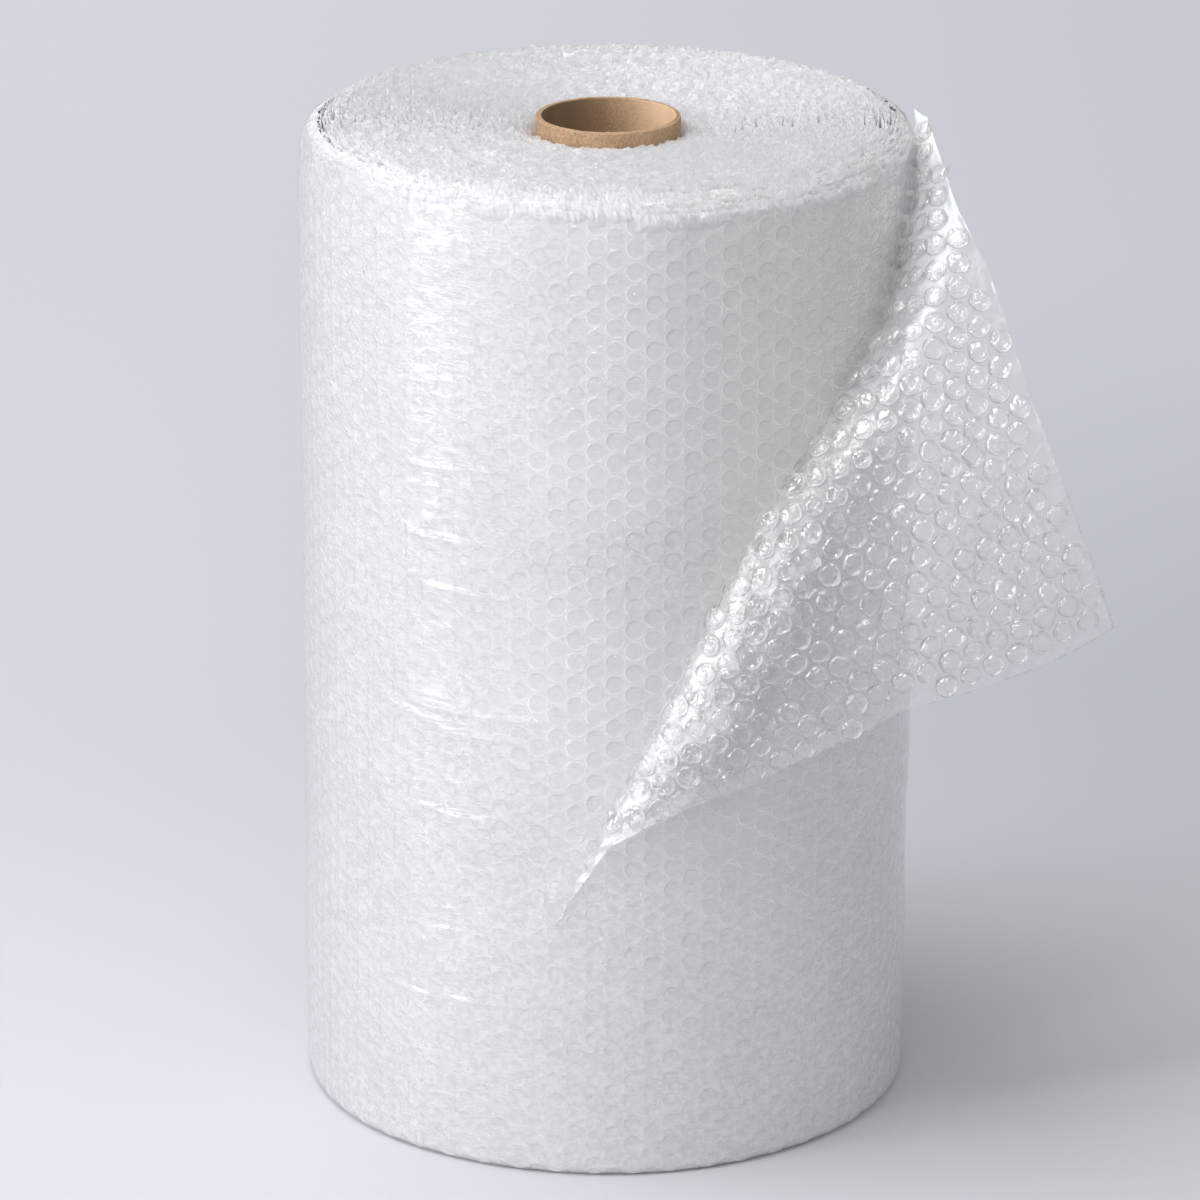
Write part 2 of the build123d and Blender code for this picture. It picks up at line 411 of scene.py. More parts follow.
def roll_points(along, up, rise=0.0):
    """Points and outward directions on the roll's side, along the web and up it, raised by a distance."""
    azimuth = azimuth_along(along)
    inset, height, turn = roll_profile(up)
    soft = smooth_step(SIDE_LENGTH - 14, SIDE_LENGTH + 18, up)
    waves = layered_noise(along, up, (17, 13, 3, 1.3), (7, 6, 4, 0.8))
    slack = layered_noise(along, up, (60, 45, 5, 0.5), (90, 16, 6, 0.35))
    raised = rise + waves * soft - 1.2 * soft + slack - 0.5
    outward = polar(np.radians(azimuth), np.cos(turn), np.sin(turn))
    points = polar(np.radians(azimuth), ROLL_RADIUS - inset - turn_drop(azimuth, height), height)
    points = points + outward * raised[..., None]
    points[..., 2] = np.clip(points[..., 2], 0.3, HIGHEST)
    return points, outward


class Corner:
    """The folded corner of the web, at heights along its fold: a tight bend, a wide one and then the flat flap."""

    def __init__(self, heights):
        self.heights = heights
        middle, centre_height, radius = curl_circle()
        distance = middle + np.sqrt(radius**2 - (heights - centre_height) ** 2)
        root = BEND_ROOT - FILM_OFFSET
        shifted = smooth_step(CORNER_FOOT + 10, CORNER_FOOT + 60, heights) * (1 - smooth_step(400, 470, heights))
        started = np.radians(fold_azimuth(heights) - WIDE_BEND_SHIFT * shifted)
        depth = distance + FILM_OFFSET - root * np.cos(started - HEADING)
        self.start = polar(started, root, 0)[..., :2]
        self.turn = math.pi + HEADING - started
        self.wide_turn = np.minimum(WIDE_BEND_TURN, self.turn * 0.5)
        low, high = WIDE_BEND_LIMITS
        limit = low - (low - high) * smooth_step(320, 430, heights)
        self.wide = np.minimum(WIDE_BEND_SHARE * depth / (1 - np.cos(self.wide_turn)), limit)
        self.tight = (depth - self.wide * (1 - np.cos(self.wide_turn))) / (np.cos(self.wide_turn) - np.cos(self.turn))
        self.tight_length = self.tight * (self.turn - self.wide_turn)
        self.arc = self.tight_length + self.wide * self.wide_turn
        self.ruling = np.array([math.cos(HEADING), math.sin(HEADING)])
        self.end = self.flat_points(self.arc[:, None])[:, 0] @ self.ruling
        table = CUT_EDGE[:-1] + LONG_EDGE
        edge = np.interp(heights, [h for h, a in table], [a for h, a in table])
        self.width = np.maximum(self.arc + edge - self.end, 0.2 * self.arc)
        self.round_curl = radius * np.arcsin((heights - centre_height) / radius)

    def flat_points(self, width):
        """Points of the web in plan, at widths from where it leaves the roll, one row for each height."""
        def arc(radius, first, last):
            a, b = HEADING - first, HEADING - last
            return np.stack([np.sin(b) - np.sin(a), np.cos(a) - np.cos(b)], -1) * radius[..., None]
        tight, wide, length = self.tight[:, None], self.wide[:, None], self.tight_length[:, None]
        turn, wide_turn = self.turn[:, None], self.wide_turn[:, None]
        first = turn - np.minimum(width, length) / tight
        flat = self.start[:, None] + arc(np.broadcast_to(tight, width.shape), turn, first)
        second = wide_turn - np.clip((width - length) / wide, 0, wide_turn)
        flat = flat + arc(np.broadcast_to(wide, width.shape), wide_turn, second)
        beyond = np.clip(width - self.arc[:, None], 0, None)
        return flat + beyond[..., None] * self.ruling

    def points(self, width):
        """Points of the web at widths from where it leaves the roll, one row for each height."""
        heights = np.broadcast_to(self.heights[:, None], width.shape)
        return np.concatenate([self.flat_points(width), heights[..., None]], -1)


# Meshes

def grid_faces(rows, columns):
    """Quads of a grid whose points run along its columns first."""
    first = (np.arange(rows - 1)[:, None] * columns + np.arange(columns - 1)).ravel()
    return np.stack([first, first + 1, first + columns + 1, first + columns], -1)


def ring_faces(rings, segments, closed=False):
    """Quads between rings of points that follow one another, and from the last ring to the first if closed."""
    faces = []
    for ring in range(rings if closed else rings - 1):
        low, high = ring * segments, (ring + 1) % rings * segments
        for s in range(segments):
            t = (s + 1) % segments
            faces.append((low + s, low + t, high + t, high + s))
    return faces


def fan_faces(first, segments, tip):
    """Triangles from a ring of points to one point."""
    return [(first + s, first + (s + 1) % segments, tip) for s in range(segments)]


def disc_ring(angles, radius, height):
    """Points round a cell's or a bubble's middle."""
    return np.stack(np.broadcast_arrays(np.cos(angles) * radius, np.sin(angles) * radius, height), -1)


def new_object(name, points, faces):
    """A smooth mesh object at the origin from points in millimetres."""
    mesh = bpy.data.meshes.new(name)
    mesh.from_pydata((np.asarray(points) * MM).tolist(), [], [list(map(int, f)) for f in faces])
    mesh.polygons.foreach_set("use_smooth", [True] * len(mesh.polygons))
    mesh.update()
    item = bpy.data.objects.new(name, mesh)
    bpy.context.scene.collection.objects.link(item)
    return item


def store(item, name, values, kind="FLOAT"):
    """Keeps a value for each point of a mesh under a name."""
    attribute = item.data.attributes.new(name, kind, "POINT")
    key = "vector" if kind == "FLOAT_VECTOR" else "value"
    attribute.data.foreach_set(key, np.asarray(values, float).ravel())


def new_carrier(name, points, outward, places):
    """A smooth surface for cells or bubbles, whose points know their places on the flat web."""
    carrier = new_object(name, points.reshape(-1, 3), grid_faces(*points.shape[:2]))
    store(carrier, OUTWARD, outward, "FLOAT_VECTOR")
    layer = carrier.data.uv_layers.new(name=WEB_MAP)
    loops = np.zeros(len(carrier.data.loops), dtype=int)
    carrier.data.loops.foreach_get("vertex_index", loops)
    layer.data.foreach_set("uv", (places.reshape(-1, 2)[loops] * MM).ravel())
    return carrier


def finish_piece(item, replaced=()):
    """Hangs a finished piece on the root body and hides the imported parts that it stands for."""
    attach(item, "root")
    if replaced:
        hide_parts(*replaced)


def bake_tree(name, tree, values):
    """A film piece that a geometry node tree makes, as a plain mesh."""
    item = new_object(name, [(0, 0, 0)], [])
    modifier = item.modifiers.new(tree.name, "NODES")
    modifier.node_group = tree
    for socket in tree.interface.items_tree:
        if socket.in_out == "INPUT" and socket.name in values:
            modifier[socket.identifier] = values[socket.name]
    graph = bpy.context.evaluated_depsgraph_get()
    graph.update()
    mesh = bpy.data.meshes.new_from_object(item.evaluated_get(graph), preserve_all_data_layers=True, depsgraph=graph)
    item.modifiers.remove(modifier)
    old = item.data
    item.data = mesh
    mesh.name = item.name
    bpy.data.meshes.remove(old)
    if not len(mesh.polygons):
        raise RuntimeError(item.name + " came out empty")
    finish_piece(item)


def new_tree(name, sockets):
    """The nodes and the inputs of a new geometry node tree with named inputs."""
    tree = bpy.data.node_groups.new(name, "GeometryNodeTree")
    for way in ("OUTPUT", "INPUT"):
        tree.interface.new_socket("Geometry", in_out=way, socket_type="NodeSocketGeometry")
    for label, kind, default in sockets:
        socket = tree.interface.new_socket(label, in_out="INPUT", socket_type="NodeSocket" + kind)
        if default is not None:
            socket.default_value = default
    nodes = Tree(tree)
    return nodes, nodes.outputs("NodeGroupInput")


def end_tree(nodes, geometry, material, soft=True):
    """Shades a tree's result smooth or in facets, gives it its material and puts it out."""
    smooth = nodes.get("GeometryNodeSetShadeSmooth", {"Geometry": geometry, "Shade Smooth": soft})
    painted = nodes.get("GeometryNodeSetMaterial", {"Geometry": smooth, "Material": material})
    nodes.add("NodeGroupOutput", {"Geometry": painted})
    return nodes.tree


def sample_surface(nodes, surface, value, place, kind="FLOAT_VECTOR"):
    """A surface's value at a place of the flat web, and whether the place is on the surface."""
    node = nodes.add("GeometryNodeSampleUVSurface", data_type=kind)
    sources = (surface, value, nodes.named(WEB_MAP, "FLOAT_VECTOR"), place)
    for socket, source in zip([s for s in node.inputs if s.enabled], sources):
        nodes.tree.links.new(source.socket, socket)
    valid = next(s for s in node.outputs if s.name == "Is Valid")
    return Value(nodes, node.outputs[0]), Value(nodes, valid)


def cup_tree():
    """Tree that lays rows of cells side by side and wraps them over a surface as one sheet."""
    nodes, given = new_tree("Wrapped Cells", (
        ("Cell", "Object", None), ("Surface", "Object", None), ("Material", "Material", None),
        ("Columns", "Int", 50), ("Rows", "Int", 46), ("First Column", "Int", 0),
        ("Column Step", "Float", 0.0095), ("Row Step", "Float", 0.0111), ("Cell Width", "Float", 1.0),
        ("Least Depth", "Float", 0.6), ("Crumple", "Float", 0.0004), ("Seed", "Int", 1),
    ))
    line = nodes.get("GeometryNodeMeshLine", {"Count": given["Columns"] * given["Rows"]})
    index = nodes.get("GeometryNodeInputIndex")
    column = nodes.math("FLOOR", index / given["Rows"])
    row = index - column * given["Rows"]
    shown = column + given["First Column"]
    place = nodes.xyz(shown * given["Column Step"], (row + shown % 2.0 * 0.5 - 0.5) * given["Row Step"])
    scale = nodes.xyz(given["Cell Width"], 1.0, nodes.random(given["Least Depth"], 1.15, given["Seed"]))
    cells = nodes.get("GeometryNodeInstanceOnPoints", {
        "Points": nodes.moved(line, Position=place), "Instance": nodes.shape(given["Cell"]), "Scale": scale})
    sheet = nodes.get("GeometryNodeRealizeInstances", {"Geometry": cells})
    sheet = nodes.get("GeometryNodeMergeByDistance", {"Geometry": sheet, "Distance": 0.0004})
    surface = nodes.shape(given["Surface"])
    position = nodes.get("GeometryNodeInputPosition")
    along, up, rise = nodes.split(position)
    flat = nodes.xyz(along, up)
    point, valid = sample_surface(nodes, surface, position, flat)
    outward, _ = sample_surface(nodes, surface, nodes.named(OUTWARD, "FLOAT_VECTOR"), flat)
    rough = nodes.noise(flat, 260.0, 3.0, 0.6) - 0.5
    lifted = point + outward * (rise + rough * given["Crumple"])
    sheet = nodes.stored(sheet, OUTWARD, outward, "FLOAT_VECTOR")
    kept = nodes.get("GeometryNodeDeleteGeometry", {"Geometry": sheet, "Selection": 1.0 - valid})
    return end_tree(nodes, nodes.moved(kept, Position=lifted), given["Material"])


def cap_tree():
    """Tree that stands bubbles in rows on a surface, where they keep clear of its edges."""
    nodes, given = new_tree("Rows Of Bubbles", (
        ("Bubble", "Object", None), ("Surface", "Object", None), ("Material", "Material", None),
        ("Reach", "Int", 24), ("Pitch", "Float", 0.0125), ("Row Angle", "Float", 0.384), ("Margin", "Float", 0.005),
        ("Least Height", "Float", 0.7), ("Crumple", "Float", 0.0005), ("Seed", "Int", 1),
    ))
    span = given["Reach"] * 2.0 + 1.0
    line = nodes.get("GeometryNodeMeshLine", {"Count": span * span})
    index = nodes.get("GeometryNodeInputIndex")
    whole_rows = nodes.math("FLOOR", index / span)
    row = whole_rows - given["Reach"]
    column = index - whole_rows * span - given["Reach"]
    steps = []
    for turn in (0.0, math.pi / 3):
        angle = given["Row Angle"] + turn
        steps.append(nodes.xyz(nodes.math("COSINE", angle), nodes.math("SINE", angle)) * given["Pitch"])
    points = nodes.moved(line, Position=steps[0] * column + steps[1] * row)
    surface = nodes.shape(given["Surface"])
    position = nodes.get("GeometryNodeInputPosition")
    point, valid = sample_surface(nodes, surface, position, position)
    outward, _ = sample_surface(nodes, surface, nodes.named(OUTWARD, "FLOAT_VECTOR"), position)
    room, _ = sample_surface(nodes, surface, nodes.named(FREE), position, "FLOAT")
    clear = nodes.math("GREATER_THAN", room, given["Margin"]) * valid
    turned = nodes.get("FunctionNodeAlignRotationToVector", {"Vector": outward}, axis="Z")
    points = nodes.stored(nodes.stored(points, "turned", turned, "QUATERNION"), "kept", clear)
    width = nodes.random(0.93, 1.04, 7)
    bubbles = nodes.get("GeometryNodeInstanceOnPoints", {
        "Points": nodes.moved(points, Position=point), "Selection": nodes.named("kept"),
        "Instance": nodes.shape(given["Bubble"]), "Rotation": nodes.named("turned", "QUATERNION"),
        "Scale": nodes.xyz(width, width, nodes.random(given["Least Height"], 1.1, given["Seed"]))})
    solid = nodes.get("GeometryNodeRealizeInstances", {"Geometry": bubbles})
    rough = nodes.get("ShaderNodeTexNoise", {"Vector": position, "Scale": 210.0, "Detail": 2.0}, 1)
    push = (rough - (0.5, 0.5, 0.5)) * given["Crumple"]
    return end_tree(nodes, nodes.moved(solid, Offset=push), given["Material"])


def ruffle_tree():
    """Tree that runs a crumpled ribbon of film round and round on the top end, as the edge of the wound web."""
    nodes, given = new_tree("Wound Edge", (
        ("Material", "Material", None), ("Points", "Int", 7000), ("Rows", "Int", 4),
        ("Inner Radius", "Float", 0.038), ("Outer Radius", "Float", 0.1482), ("Turn Pitch", "Float", 0.0035),
        ("Turn Offset", "Float", 0.0), ("Ribbon Height", "Float", 0.009), ("Top Height", "Float", 0.4985),
        ("Dish", "Float", 0.008), ("Wave", "Float", 0.004), ("Bubble Wave", "Float", 0.0), ("Seed", "Float", 0.0),
    ))
    grid = nodes.get("GeometryNodeMeshGrid", {
        "Size X": 1.0, "Size Y": 1.0, "Vertices X": given["Points"], "Vertices Y": given["Rows"]})
    x, y, _ = nodes.split(nodes.get("GeometryNodeInputPosition"))
    rise = y + 0.5
    inner = given["Inner Radius"] ** 2.0
    square = inner + (x + 0.5) * (given["Outer Radius"] ** 2.0 - inner)
    radius = nodes.math("SQRT", square)
    angle = ((radius - given["Inner Radius"]) / given["Turn Pitch"] + given["Turn Offset"]) * -math.tau
    run = (square - inner) / given["Turn Pitch"] * math.pi
    place = nodes.xyz(run + given["Seed"], rise * 0.006, given["Seed"])
    fine = (nodes.noise(place, 340.0, 3.0, 0.75) - 0.5) * nodes.ramp(radius, 0.115, 0.14, 1.0, 1.5)
    broad = nodes.noise(place, 60.0, 1.0) - 0.5
    beat = nodes.math("SINE", run * (math.tau / 0.0115)) * nodes.ramp(radius, 0.125, 0.138, 1.0, 0.0)
    wave = (fine + broad) * given["Wave"] + beat * given["Bubble Wave"]
    width = nodes.math("MAXIMUM", radius + wave * rise ** 0.8, (CORE_RADIUS + 0.7) * MM)
    from_shoulder = radius - (ROLL_RADIUS - SHOULDER) * MM
    inside = nodes.math("MINIMUM", from_shoulder, 0.0) / (TOP_FLAT * MM)
    over = nodes.math("MAXIMUM", from_shoulder, 0.0) / (SHOULDER * MM)
    rounded = 1.0 - nodes.math("SQRT", 1.0 - over ** 2.0)
    fall = given["Dish"] * abs(inside) ** 2.0 + rounded * (SHOULDER * MM)
    top = given["Top Height"] - fall + nodes.ramp(from_shoulder, 0.005, 0.0145, 0.0003, -0.0018)
    ragged = (nodes.noise(place, 230.0, 3.0, 0.7) - 0.62) * 0.007
    height = top + ragged * rise + (rise - 1.0) * given["Ribbon Height"]
    wound = nodes.xyz(width * nodes.math("SINE", angle), width * (nodes.math("COSINE", angle) * -1.0),
                      nodes.math("MINIMUM", height, (ROLL_HEIGHT + 0.5) * MM))
    ribbon = nodes.get("GeometryNodeRealizeInstances", {"Geometry": nodes.moved(grid, Position=wound)})
    return end_tree(nodes, ribbon, given["Material"], soft=False)


# Materials

def crease_group():
    """Shader group: fine creases and broad unevenness of thin film, as a height and a mask."""
    tree = bpy.data.node_groups.new(CREASES, "ShaderNodeTree")
    for label, way in (("Stretch", "INPUT"), ("Height", "OUTPUT"), ("Mask", "OUTPUT")):
        tree.interface.new_socket(label, in_out=way, socket_type="NodeSocketFloat")
    nodes = Tree(tree)
    place = nodes.place() * nodes.xyz(1.0, 1.0, nodes.outputs("NodeGroupInput")["Stretch"])
    fine = nodes.noise(place, 420.0, 3.0, 0.6)
    ridge = nodes.ramp(abs(nodes.noise(place, 70.0, 4.0, 0.55) - 0.5), 0.0, 0.06, 1.0, 0.0)
    nodes.add("NodeGroupOutput", {"Height": fine * 0.5 + ridge, "Mask": ridge})
    return tree


def wound_film_material(options):
    """Clear film in many layers seen as one pale mass, a thin bright ring round each bubble, painted glints and
    shade.
    """
    nodes = new_material("wound_film")
    height, _ = nodes.creases(2.2)
    reach = nodes.attribute(REACH)
    place = nodes.place()
    x, _, z = nodes.split(place)
    cloud = nodes.ramp(nodes.noise(place, 9.0, 3.0, 0.6), 0.3, 0.7)
    patchy = nodes.ramp(nodes.noise(place, 150.0, 2.0, 0.6), 0.35, 0.62, 0.1, 1.0)
    clearer = nodes.ramp(x, -0.10, 0.0, 0.15, 1.0) * nodes.ramp(z, 0.04, 0.25, 0.25, 1.0)
    clearer = clearer * nodes.ramp(nodes.noise(place, 16.0, 2.0, 0.6), 0.35, 0.6, 0.35, 1.0)
    # Painted shade: the film is tinted darker and warmer on the roll's right side
    shaded_side = nodes.ramp(x, 0.0, 0.09) * nodes.ramp(z, 0.15, 0.35)
    crumbs = nodes.ramp(nodes.noise(place, 300.0, 3.0, 0.7), 0.4, 0.6, 0.35, 0.0)
    # Painted shade: the film is darker inside each bubble's hollow cup
    inner = nodes.ramp(reach, 0.55, 0.95, 1.0, 0.0)
    off_ring = abs(reach - RING_SHARE)
    ring = nodes.ramp(off_ring, 0.03, 0.13, 1.0, 0.0) * patchy
    glint = nodes.attribute(GLINT) * nodes.ramp(off_ring, 0.04, 0.16, 1.0, 0.0) * patchy * clearer
    film, weld = options.film_colour, tinted(options.weld_colour)
    base = nodes.mix(cloud, tinted(film, 0.94), tinted(film))
    for share, layer in (
        (shaded_side * 0.8, SHADED_SIDE_TINT), (crumbs * nodes.ramp(clearer, 0.2, 0.9, 1.3, 0.3), tinted(film, 0.72)),
        (inner * 0.3 * clearer, tinted(film, 0.84)), (ring * 0.5 * clearer, weld), (glint * 0.95, weld),
        # Painted shade: the film is darker towards the top shoulder
        (nodes.ramp(z, 0.476, 0.495, 0.0, 0.55), tinted(film, 0.62)),
    ):
        base = nodes.mix(share, base, layer)
    lip = nodes.ramp(off_ring, 0.0, 0.26, 1.0, 0.0) * nodes.ramp(z, 0.05, 0.25, 0.6, 1.5)
    relief = height * nodes.ramp(z, 0.05, 0.25, 1.2, 0.6) + lip
    real = nodes.get("ShaderNodeNewGeometry", output="Normal")
    soft = nodes.attribute(OUTWARD, "Vector") * SOFT_SHARE + real * (1 - SOFT_SHARE)
    nodes.surface(nodes.get("ShaderNodeBsdfPrincipled", {
        "Base Color": base, "Roughness": 0.6, "Specular IOR Level": 0.2, "Normal": nodes.vector("NORMALIZE", (soft,)),
        "Coat Weight": 1.0, "Coat Roughness": options.film_roughness, "Coat IOR": 1.65,
        "Coat Normal": nodes.bump(relief, 1.0, 0.0005)}))


def clear_film_material(name, options, see_through, crease_white, weld_white, gloss, roughness, stretch,
                        relief, veil, varied=True, fold_highlight=0.0):
    """Thin clear film: mostly see-through, glossy at grazing angles and whiter at its creases and welds.

    veil is the share of a wide second gloss, and the last argument the strength of the painted highlight: white
    patches beside the flap's fold.
    """
    nodes = new_material(name)
    height, crease = nodes.creases(stretch)
    if varied:
        sheen = nodes.attribute(SHEEN)
        height = height * sheen
    bump = nodes.bump(height, relief, 0.0006)
    facing = nodes.get("ShaderNodeLayerWeight", {"Blend": 0.5, "Normal": bump}, "Facing")
    rim = nodes.math("MULTIPLY_ADD", facing ** 4.0, 0.95, 0.045)
    if varied:
        rim = rim * nodes.ramp(sheen, 0.0, 1.0, 0.45, 1.0)
    lobes = [nodes.get("ShaderNodeBsdfGlossy", {"Color": (1, 1, 1, 1), "Roughness": blur, "Normal": bump})
             for blur in (roughness, 0.42)]
    film = nodes.blend(nodes.math("MULTIPLY", rim, gloss, clamp=True), nodes.get("ShaderNodeBsdfTransparent"),
                       nodes.blend(veil, *lobes))
    milky = nodes.get("ShaderNodeBsdfPrincipled", {
        "Base Color": tinted(options.weld_colour), "Roughness": 0.3, "Specular IOR Level": 0.5, "Normal": bump})
    haze = crease * crease_white + (1.0 - see_through)
    # Painted highlight: milky white patches along the flap's fold, where the key light shines off the bend
    if fold_highlight:
        place = nodes.place()
        x, _, z = nodes.split(place)
        past_fold = nodes.math("MULTIPLY_ADD", z, FOLD_LEAN, FOLD_PLACE) + x
        patch = nodes.ramp(past_fold, 0.0, 0.008) * nodes.ramp(past_fold, 0.024, 0.046, 1.0, 0.0)
        patch = patch * nodes.ramp(z, 0.29, 0.36, 1.0, 0.0)
        haze = haze + patch * nodes.ramp(nodes.noise(place, 90.0, 3.0, 0.6), 0.4, 0.6, 0.15, 1.0) * fold_highlight
    seam = nodes.ramp(nodes.attribute(WELD), 0.55, 1.0) * weld_white
    nodes.surface(nodes.blend(nodes.math("ADD", haze, seam, clamp=True), film, milky))


def edge_film_material(options):
    """Crumpled edges of the wound film: white where it is seen edge on, and glossy."""
    nodes = new_material("edge_film")
    height, crease = nodes.creases(1.0)
    base = nodes.mix(crease, (0.93, 0.93, 0.94, 1.0), tinted(options.weld_colour))
    bump = nodes.bump(height, 0.3, 0.0006)
    shader = nodes.get("ShaderNodeBsdfPrincipled", {
        "Base Color": base, "Roughness": 0.12, "Specular IOR Level": 0.9, "Normal": bump})
    nodes.surface(nodes.blend(0.5, shader, nodes.get("ShaderNodeBsdfTranslucent", {"Color": base, "Normal": bump})))


def kraft_material(options):
    """Kraft paperboard: short fibres, specks, a dark ply line and an inside with painted shade and light."""
    nodes = new_material("core_board")
    board = options.board_colour
    place = nodes.place()
    stretched = nodes.get("ShaderNodeMapping", {"Vector": place, "Scale": (1.0, 1.0, 4.0)})
    fibres = nodes.noise(stretched, 260.0, 4.0, 0.7)
    blotches = nodes.noise(place, 55.0, 3.0, 0.6)
    share = nodes.math("ADD", fibres * 0.6, blotches * 0.5, clamp=True)
    speckle = nodes.ramp(nodes.noise(place, 900.0, 2.0, 0.7), 0.40, 0.56, 0.6, 0.0)
    inside = nodes.attribute(INSIDE)
    across, _, _ = nodes.split(place)
    base = nodes.mix(nodes.ramp(share, 0.35, 0.75), tinted(board, 0.72), tinted(board))
    # Painted light and shade inside the tube: its inner wall is lighter on the right and darker on the left
    for amount, layer in (
        (speckle, tinted(board, 0.45)), (inside * nodes.ramp(across, 0.0, 0.03), tinted(board, (1.3, 1.36, 1.45))),
        (inside * nodes.ramp(across, -0.032, 0.024, 1.15, 0.0), tinted(board, 0.3)),
        (nodes.attribute(WELD), tinted(board, 0.3)),
    ):
        base = nodes.mix(amount, base, layer)
    nodes.surface(nodes.get("ShaderNodeBsdfPrincipled", {
        "Base Color": base, "Roughness": 0.85, "Specular IOR Level": 0.3, "Normal": nodes.bump(fibres, 0.5, 0.0004)}))


def shared_materials(options):
    """The film's and the board's materials, made once."""
    if "wound_film" not in bpy.data.materials:
        wound_film_material(options)
        clear_film_material(
            "skin_film", options, see_through=0.99, crease_white=0.05, weld_white=0.0, gloss=2.0, roughness=0.07,
            stretch=5.0, relief=1.0, veil=0.0)
        edge_film_material(options)
        clear_film_material(
            "flap_film", options, see_through=0.985, crease_white=0.10, weld_white=0.9, gloss=2.6, roughness=0.09,
            stretch=1.0, relief=0.6, veil=0.8, fold_highlight=0.45)
        clear_film_material(
            "bubble_film", options, see_through=0.99, crease_white=0.05, weld_white=0.5, gloss=2.8, roughness=0.05,
            stretch=1.0, relief=0.7, veil=0.1, varied=False)
        kraft_material(options)
    return bpy.data.materials


# Settings

class FilmSettings(bpy.types.PropertyGroup):
    """Sizes and colours of the film."""

    bubble_radius: bpy.props.FloatProperty(
        name="Bubble Radius", description="Radius of a bubble of the wound web", default=0.00495, unit="LENGTH")
    bubble_depth: bpy.props.FloatProperty(
        name="Bubble Depth", description="Depth of a bubble behind the outer film", default=0.0005, unit="LENGTH")
    bubble_pitch: bpy.props.FloatProperty(
        name="Bubble Pitch", description="Distance between bubbles up the roll", default=0.0111, unit="LENGTH")
    film_colour: bpy.props.FloatVectorProperty(
        name="Film Colour", description="Colour of many layers of the film", subtype="COLOR",
        default=(0.785, 0.79, 0.795))
    weld_colour: bpy.props.FloatVectorProperty(
        name="Weld Colour", description="Colour of the rings where the two films are joined", subtype="COLOR",
        default=(0.97, 0.975, 0.98))
    film_roughness: bpy.props.FloatProperty(
        name="Film Roughness", description="Roughness of the film's gloss", default=0.11, subtype="FACTOR")
    board_colour: bpy.props.FloatVectorProperty(
        name="Board Colour", description="Colour of the cardboard core", subtype="COLOR", default=(0.55, 0.365, 0.22))


class StudioSettings(bpy.types.PropertyGroup):
    """Light and backdrop."""

    key_power: bpy.props.FloatProperty(
        name="Key Light", description="Power of the large soft light on the left", default=24.0, unit="POWER")
    spark_power: bpy.props.FloatProperty(
        name="Spark Light", description="Power of the small light that makes the film sparkle", default=8.0,
        unit="POWER")
    fill_strength: bpy.props.FloatProperty(
        name="Fill", description="Strength of the light from all round", default=0.71)
    floor_colour: bpy.props.FloatVectorProperty(
        name="Floor Colour", description="Colour of the floor", subtype="COLOR", default=(0.59, 0.605, 0.64))


# Operators

class BUBBLEWRAP_OT_core(bpy.types.Operator):
    """Makes the cardboard core."""

    bl_idname = "bubblewrap.core"
    bl_label = "Cardboard Core"

    def execute(self, context):
        segments = 120
        middle = 250
        # Radius, height and how dark the ply line is
        profile = [
            (CORE_BORE, 0.2, 0), (33.6, 0.0, 0), (35.0, 0.0, 0), (CORE_RADIUS, 0.6, 0), (CORE_RADIUS, middle, 0),
            (CORE_RADIUS, 496.6, 0), (35.3, 497.1, 0), (34.9, 497.4, 0.2), (34.4, 497.3, 0), (34.1, 496.9, 1),
            (33.8, 497.3, 0), (33.1, 497.4, 0), (32.7, 497.2, 0.2), (CORE_BORE, 496.7, 0), (CORE_BORE, middle, 0),
        ]
        angles = np.arange(segments) * math.tau / segments
        rings = []
        for radius, height, _ in profile:
            near_top = 1.0 if height > 496 else 0.0
            rough = hash_noise(angles * 14, np.full(segments, radius * 3), 11) * 0.16 * near_top
            lift = hash_noise(angles * 9, np.full(segments, radius * 2), 12) * 0.18 * near_top
            rings.append(polar(angles, radius + rough, np.clip(height + lift, 0, CORE_HEIGHT)))
        core = new_object("cardboard_tube", np.concatenate(rings), ring_faces(len(profile), segments, closed=True))
        store(core, WELD, np.repeat([mark for _, _, mark in profile], segments))
        store(core, INSIDE, np.repeat([1.0 if radius < 33 else 0.0 for radius, _, _ in profile], segments))
        core.data.materials.append(shared_materials(context.scene.film_settings)["core_board"])
        finish_piece(core, ["cardboard_core"])
        return {"FINISHED"}


def roll_carrier():
    """The smooth surface of the roll's side and shoulder, with its place on the flat web."""
    columns, rows, spare = 480, 340, 14
    along, up = np.meshgrid(
        np.linspace(-spare, AROUND + spare, columns), np.linspace(-spare / 2, SIDE_LENGTH + SHOULDER * 1.1, rows))
    return new_carrier("roll_carrier", *roll_points(along, up), np.stack([along, up], -1))


def cup_cell(options):
    """One cell of the web seen from its flat side: a weld ring round a bubble that hangs inwards."""
    corners = 12
    pitch, radius, depth = options.bubble_pitch / MM, options.bubble_radius / MM, options.bubble_depth / MM
    angles = np.arange(corners) * math.tau / corners
    edge = np.where(np.arange(corners) % 2 == 0, pitch / math.sqrt(3), pitch / 2)
    rings = [(edge, 0.0), (radius, 0.15 * depth), (radius * 0.87, -0.65 * depth), (radius * 0.5, -0.95 * depth)]
    points = [disc_ring(angles, reach, height) for reach, height in rings] + [np.array([[0, 0, -depth]])]
    tip = corners * len(rings)
    faces = ring_faces(len(rings), corners) + fan_faces(tip - corners, corners, tip)
    cell = new_object("cup_cell", np.concatenate(points), faces)
    shares = [np.broadcast_to(reach, corners) / radius for reach, _ in rings]
    store(cell, REACH, np.append(np.concatenate(shares), 0.0))
    lit_side = np.clip(np.cos(angles - math.radians(205)), 0, 1) ** 2
    store(cell, GLINT, np.append(np.tile(lit_side, len(rings)), 0.0))
    return cell


